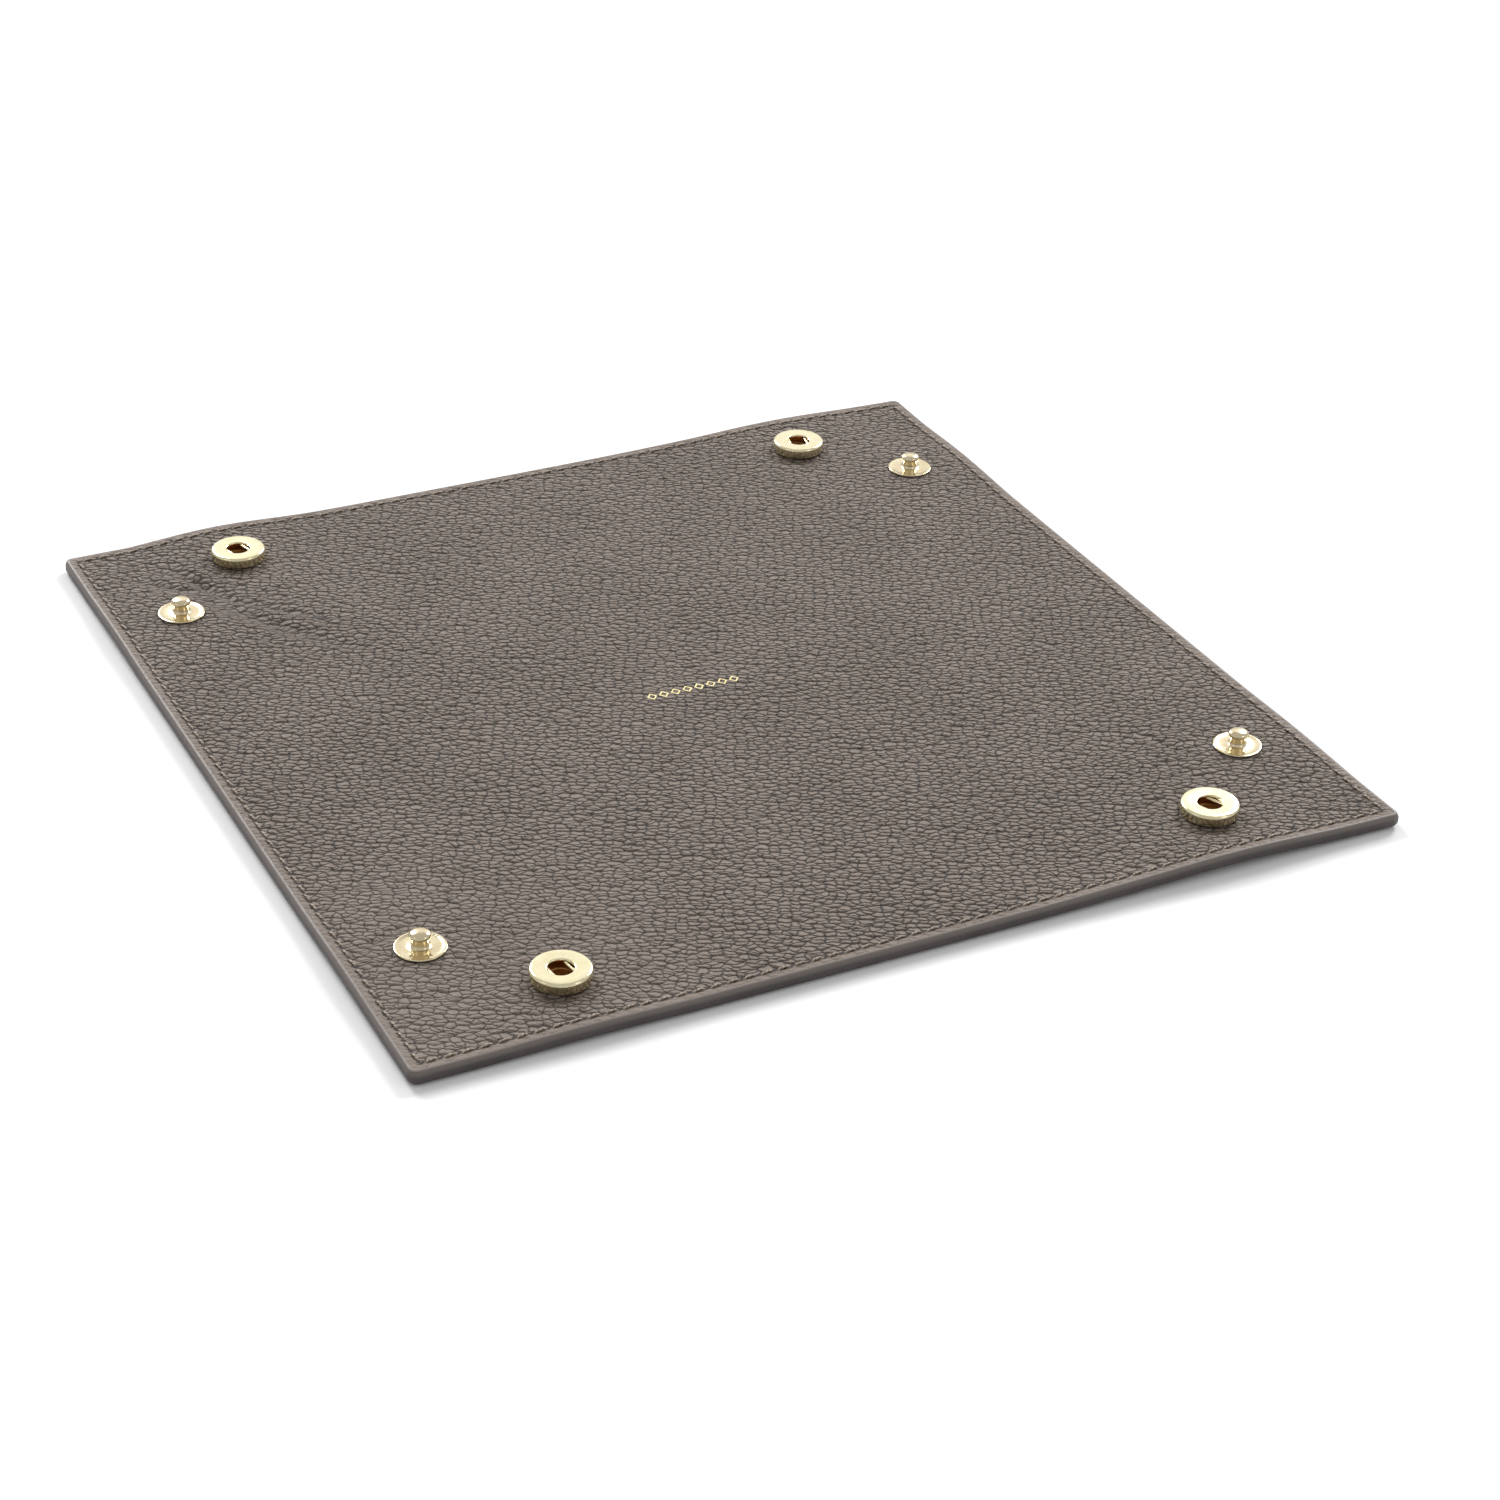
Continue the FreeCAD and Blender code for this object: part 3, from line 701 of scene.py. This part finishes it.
def hole_slit(x, y, tangent, top):
    """The small slanted slit where the needle went through: a flat sheet laid on the leather and coloured
    with painted shade.
    """
    base, sign = (top_at, 1.0) if top else (low_at, -1.0)
    lean = math.radians(HOLE_LEAN if top else -HOLE_LEAN)
    sides, half_long, half_wide, above = 12, 0.62, 0.3, 0.015
    ux = tangent[0] * math.cos(lean) - tangent[1] * math.sin(lean)
    uy = tangent[1] * math.cos(lean) + tangent[0] * math.sin(lean)
    rim = []
    for k in range(sides):
        a = 2 * math.pi * k / sides
        u, v = half_long * math.cos(a), half_wide * math.sin(a)
        px, py = x + ux * u - uy * v, y + uy * u + ux * v
        rim.append((px, py, float(base(px, py)) + sign * above))
    order = tuple(range(sides)) if top else tuple(reversed(range(sides)))
    return rim, [order], [0.0] * sides


def seam(panel, angle, first, last):
    """All the stitches of one panel, above and below, with their needle holes."""
    rng = np.random.default_rng(100 + sum(map(ord, panel)))
    c, s = math.cos(math.radians(angle)), math.sin(math.radians(angle))
    points, faces, kinds, twists = [], [], [], []

    def turned(x, y):
        return x * c - y * s, x * s + y * c

    def put(part, kind):
        start = len(points)
        points.extend(part[0])
        faces.extend(tuple(v + start for v in f) for f in part[1])
        kinds.extend([kind] * len(part[1]))
        twists.extend(part[2])

    y = -HALF + INSET
    tangent = turned(1, 0)
    for i in range(first, last + 1):
        for top in (True, False):
            px, py = turned(i * PITCH, y + rng.uniform(-0.06, 0.06))
            put(stitch(rng, px, py, tangent, top), 0)
    for i in range(first, last + 2):
        for top in (True, False):
            px, py = turned((i - 0.5) * PITCH, y + rng.uniform(-0.04, 0.04))
            put(hole_slit(px, py, tangent, top), 1)
    thread = link("stitching_" + panel, points, faces, [THREAD, HOLE], kinds)
    attribute = thread.data.attributes.new("twist", "FLOAT", "POINT")
    attribute.data.foreach_set("value", np.array(twists, np.float32))
    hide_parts("thread_" + panel)
    attach(thread, panel)


ON_WALL, ON_FLAP = 16, 29   # number of the last stitch of a side on its wall, and on its flap
corners_round = list(CORNERS)
for turn, wall in enumerate(WALLS):
    seam("wall_" + wall, 90 * turn, -ON_WALL, ON_WALL)
    kind = "flap_socket_" if wall in ("front", "back") else "flap_stud_"
    seam(kind + corners_round[turn], 90 * turn, -ON_FLAP, -ON_WALL - 1)
    seam(kind + corners_round[(turn + 1) % 4], 90 * turn, ON_WALL + 1, ON_FLAP)


# ---------------------------------------------------------------- snap fasteners
def turned_solid(name, profile, place, materials, kinds=None, steps=96, shape=None, ring=True):
    """A turned piece from (radius, height) points: a ring, or closed across the axis at both ends."""
    points, faces, finish = [], [], []
    count = len(profile)
    for r, z in profile:
        for k in range(steps):
            a = 2 * math.pi * k / steps
            dz = shape(r, a) if shape else 0.0
            points.append((r * math.cos(a), r * math.sin(a), z + dz))
    for r in range(count if ring else count - 1):
        n = (r + 1) % count
        for k in range(steps):
            m = (k + 1) % steps
            faces.append((r * steps + k, r * steps + m, n * steps + m, n * steps + k))
            finish.append(kinds[r] if kinds else 0)
    if not ring:
        faces.append(tuple(range(steps))[::-1])
        faces.append(tuple((count - 1) * steps + k for k in range(steps)))
        finish += [kinds[0] if kinds else 0, kinds[-1] if kinds else 0]
    points = np.array(points) + np.array(place)
    return link(name, points, faces, materials, finish)


def arc(cx, cz, radius, start, end, steps=6, squash=1.0):
    """Points of an arc in a profile, angles in degrees from the outward direction."""
    out = []
    for k in range(steps + 1):
        a = math.radians(start + (end - start) * k / steps)
        out.append((cx + radius * math.cos(a), cz + radius * squash * math.sin(a)))
    return out


SHARP = math.radians(38)    # edges that turn more than this stay crisp


def sharpen(obj):
    """Keeps crisp corners crisp on a turned piece."""
    mesh = obj.data
    faces_at = {}
    for p in mesh.polygons:
        for key in p.edge_keys:
            faces_at.setdefault(key, []).append(p.normal.copy())
    sharp = [False] * len(mesh.edges)
    for e in mesh.edges:
        near = [normal for normal in faces_at.get(e.key, []) if normal.length > 0]
        if len(near) == 2 and near[0].angle(near[1]) > SHARP:
            sharp[e.index] = True
    attribute = mesh.attributes.get("sharp_edge") or mesh.attributes.new("sharp_edge", "BOOLEAN", "EDGE")
    attribute.data.foreach_set("value", sharp)


def socket_ring(corner):
    """A socket: a rounded ring, with brass inside its hole."""
    x, y = SOCKETS[corner]
    profile = [(2.75, 0.0), (5.55, 0.0)]
    profile += arc(5.55, 0.35, 0.35, -90, 0, 4)
    profile += [(5.86, 0.9), (5.9, 1.4)]
    profile += arc(5.35, 1.85, 0.55, 0, 90, 9)
    profile += [(4.2, 2.385), (3.0, 2.35)]
    profile += arc(2.78, 2.08, 0.27, 90, 180, 6)
    kinds = [0] * len(profile) + [1] * 4
    profile += [(2.5, 1.95), (4.9, 1.95), (4.9, 0.3), (2.75, 0.3)]
    ring = turned_solid("snap_ring_" + corner, profile, (x, y, TOP_Z), [GOLD, INNER], kinds)
    sharpen(ring)
    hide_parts("socket_" + corner)
    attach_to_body(ring, "flap_socket_" + corner)


def rivet_cap(corner, kind, place):
    """The cap under the lining, with its post up through the leather."""
    profile = [(0.6, -0.8), (3.5, -0.79), (5.0, -0.7)]
    profile += arc(5.5, -0.3, 0.5, -60, 0, 5, 0.8) + [(6.0, 0.0)]
    if kind == "socket":
        post = [(2.7, 0.02), (2.7, 3.1), (3.25, 3.12), (3.25, 3.2), (3.0, 3.3), (2.45, 3.3), (2.3, 3.2)]
        post += [(2.3, 1.0)]
    else:
        post = [(1.0, 0.02), (1.0, 5.4)]
    kinds = [0] * len(profile) + [1] * len(post)
    cap = turned_solid("snap_cap_%s_%s" % (kind, corner), profile + post, (*place, LOW_Z),
                       [GOLD, INNER], kinds, 64, ring=False)
    sharpen(cap)
    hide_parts("cap_%s_%s" % (kind, corner))
    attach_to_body(cap, "flap_%s_%s" % (kind, corner))


RIDGES, RIDGE_RISE = 32, 0.012      # fine radial ridges on a stud's flange


def snap_stud(corner):
    """A stud: a ridged flange, a waist, and the round head that the socket grips."""
    x, y = STUDS[corner]
    inner = [(0.12, 2.7), (1.05, 2.7)]
    outer = [(1.05, 0.0), (4.85, 0.0)]
    outer += arc(4.85, 0.15, 0.15, -90, 90, 6)
    outer += [(4.45, 0.31), (4.3, 0.26), (3.6, 0.25), (2.8, 0.26), (2.3, 0.3)]
    outer += [(1.9, 0.38), (1.64, 0.58), (1.53, 0.95), (1.5, 1.5), (1.52, 1.95)]
    outer += [(1.6, 2.1), (1.8, 2.22), (2.0, 2.36), (2.09, 2.52), (2.1, 2.68)]
    outer += [(2.07, 2.86), (1.97, 3.04), (1.8, 3.19), (1.55, 3.32), (1.2, 3.41), (0.8, 3.46),
              (0.4, 3.49), (0.12, 3.5)]

    def ridges(r, a):
        if not 2.5 < r < 4.4:
            return 0.0
        return RIDGE_RISE * max(0.0, math.sin(RIDGES * a)) ** 2

    stud = turned_solid("snap_stud_" + corner, inner + outer, (x, y, TOP_Z), [STUD],
                        steps=256, shape=ridges, ring=False)
    sharpen(stud)
    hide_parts("stud_" + corner)
    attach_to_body(stud, "flap_stud_" + corner)


WIRE_APART, WIRE_RADIUS, WIRE_Z = 1.95, 0.35, 1.58  # half the bars' distance, and height in the ring


def snap_spring(corner):
    """The hairpin wire whose two bars cross the socket's hole."""
    x, y = SOCKETS[corner]
    path = [(-WIRE_APART, -3.9 + 0.5 * k) for k in range(13)]
    for k in range(15):
        a = math.pi * k / 14
        path.append((-WIRE_APART * math.cos(a), 2.2 + WIRE_APART * math.sin(a)))
    path += [(WIRE_APART, 2.1 - 0.5 * k) for k in range(13)]
    a = math.radians(SPRING_LEAN[corner])
    curve = bpy.data.curves.new("wire_path", "CURVE")
    curve.dimensions = "3D"
    spline = curve.splines.new("POLY")
    spline.points.add(len(path) - 1)
    for k, (u, v) in enumerate(path):
        px, py = x + u * math.cos(a) - v * math.sin(a), y + u * math.sin(a) + v * math.cos(a)
        spline.points[k].co = (px * MM, py * MM, (TOP_Z + WIRE_Z) * MM, 1)
    curve.bevel_depth = WIRE_RADIUS * MM
    curve.bevel_resolution = 5
    curve.use_fill_caps = True
    helper = bpy.data.objects.new("wire_path", curve)
    made = bpy.data.meshes.new_from_object(helper)
    points = [tuple(v.co / MM) for v in made.vertices]
    faces = [tuple(p.vertices) for p in made.polygons]
    bpy.data.objects.remove(helper)
    bpy.data.curves.remove(curve)
    bpy.data.meshes.remove(made)
    wire = link("snap_wire_" + corner, points, faces, [WIRE])
    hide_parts("spring_" + corner)
    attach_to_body(wire, "flap_socket_" + corner)


for corner in CORNERS:
    socket_ring(corner)
    snap_spring(corner)
    snap_stud(corner)
    rivet_cap(corner, "socket", SOCKETS[corner])
    rivet_cap(corner, "stud", STUDS[corner])


# ---------------------------------------------------------------- stiffener and foil ornament
def stiffener():
    """The thin board between the two leathers, with rounded corners."""
    half, z0, z1, cut = 56.0, 1.72, 2.32, 3.0
    plan = []
    for qx, qy, start in ((1, -1, -90), (1, 1, 0), (-1, 1, 90), (-1, -1, 180)):
        for k in range(5):
            a = math.radians(start + 90 * k / 4)
            plan.append((qx * (half - cut) + cut * math.cos(a), qy * (half - cut) + cut * math.sin(a)))
    n = len(plan)
    points = [(x, y, z0) for x, y in plan] + [(x, y, z1) for x, y in plan]
    faces = [tuple(range(n))[::-1], tuple(range(n, 2 * n))]
    faces += [(k, (k + 1) % n, n + (k + 1) % n, n + k) for k in range(n)]
    board = link("stiffener_board", points, faces, [BOARD])
    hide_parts("floor_board")
    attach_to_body(board, "floor")


def foil_ornament():
    """A generic pressed ornament: a row of outlined lozenges."""
    cx, cy, pitch, half_wide, half_tall, line = -2.0, -3.0, 2.7, 1.15, 1.3, 0.42
    points, faces = [], []
    for k in range(8):
        x = cx + (k - 3.5) * pitch
        start = len(points)
        for shrink in (1.0, 1.0 - line / half_wide):
            for u, v in ((1, 0), (0, 1), (-1, 0), (0, -1)):
                px, py = x + u * half_wide * shrink, cy + v * half_tall * shrink
                points.append((px, py, float(top_at(px, py)) + 0.03))
        for q in range(4):
            r = (q + 1) % 4
            faces.append((start + q, start + r, start + 4 + r, start + 4 + q))
    foil = link("foil_ornament", points, faces, [FOIL])
    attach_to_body(foil, "floor")


stiffener()
foil_ornament()

# ---------------------------------------------------------------- floor, light and camera
world = bpy.data.worlds.new("studio")
bpy.context.scene.world = world
world.use_nodes = True
sky = world.node_tree.nodes["Background"]
sky.inputs["Color"].default_value = (1, 1, 1, 1)
sky.inputs["Strength"].default_value = 0.56

FAR = 6.0                   # the floor reaches this far, in metres
ground = bpy.data.meshes.new("ground")
ground.from_pydata([(-FAR, -FAR, 0), (FAR, -FAR, 0), (FAR, FAR, 0), (-FAR, FAR, 0)], [], [(0, 1, 2, 3)])
white = Nodes("pale floor", (0.93, 0.93, 0.93), 0.8)
white.shader.inputs["Specular IOR Level"].default_value = 0.1
ground.materials.append(white.material)
ground_obj = bpy.data.objects.new("ground", ground)
bpy.context.scene.collection.objects.link(ground_obj)


def softbox(name, place, wide, tall, radiance):
    """A rectangular light of even radiance, aimed at the tray's middle."""
    light = bpy.data.lights.new(name, "AREA")
    light.shape = "RECTANGLE"
    light.size, light.size_y = wide, tall
    light.energy = radiance * math.pi * wide * tall
    obj = bpy.data.objects.new(name, light)
    obj.location = place
    obj.rotation_mode = "QUATERNION"
    obj.rotation_quaternion = (-Vector(place)).to_track_quat("-Z", "Y")
    bpy.context.scene.collection.objects.link(obj)


# two equal keys behind the tray give even relief, and the faint ones shape the rims of the snaps
softbox("key_right", (1.83, 1.23, 1.38), 0.9, 0.9, 18.0)
softbox("key_left", (-0.15, 2.20, 1.38), 0.9, 0.9, 18.0)
softbox("wall_behind", (0.64, 1.23, 0.80), 2.2, 0.7, 0.55)
softbox("strip_left", (-0.95, -0.05, 0.75), 0.3, 0.5, 0.6)
softbox("strip_right", (0.55, -0.80, 0.75), 0.3, 0.5, 1.5)

camera = bpy.data.cameras.new("camera")
camera.sensor_width = 36.0
camera.lens = 80.24
camera.clip_start, camera.clip_end = 0.02, 20
camera_obj = bpy.data.objects.new("camera", camera)
right, up = Vector((0.89579, -0.44370, 0.02635)), Vector((0.20794, 0.47073, 0.85743))
toward = right.cross(up)
turn = Matrix((right, up, toward)).transposed().to_4x4()
camera_obj.matrix_world = Matrix.Translation((-0.26831, -0.54671, 0.35099)) @ turn
bpy.context.scene.collection.objects.link(camera_obj)
bpy.context.scene.camera = camera_obj
bpy.context.scene.view_settings.view_transform = "Standard"

bpy.context.view_layer.update()
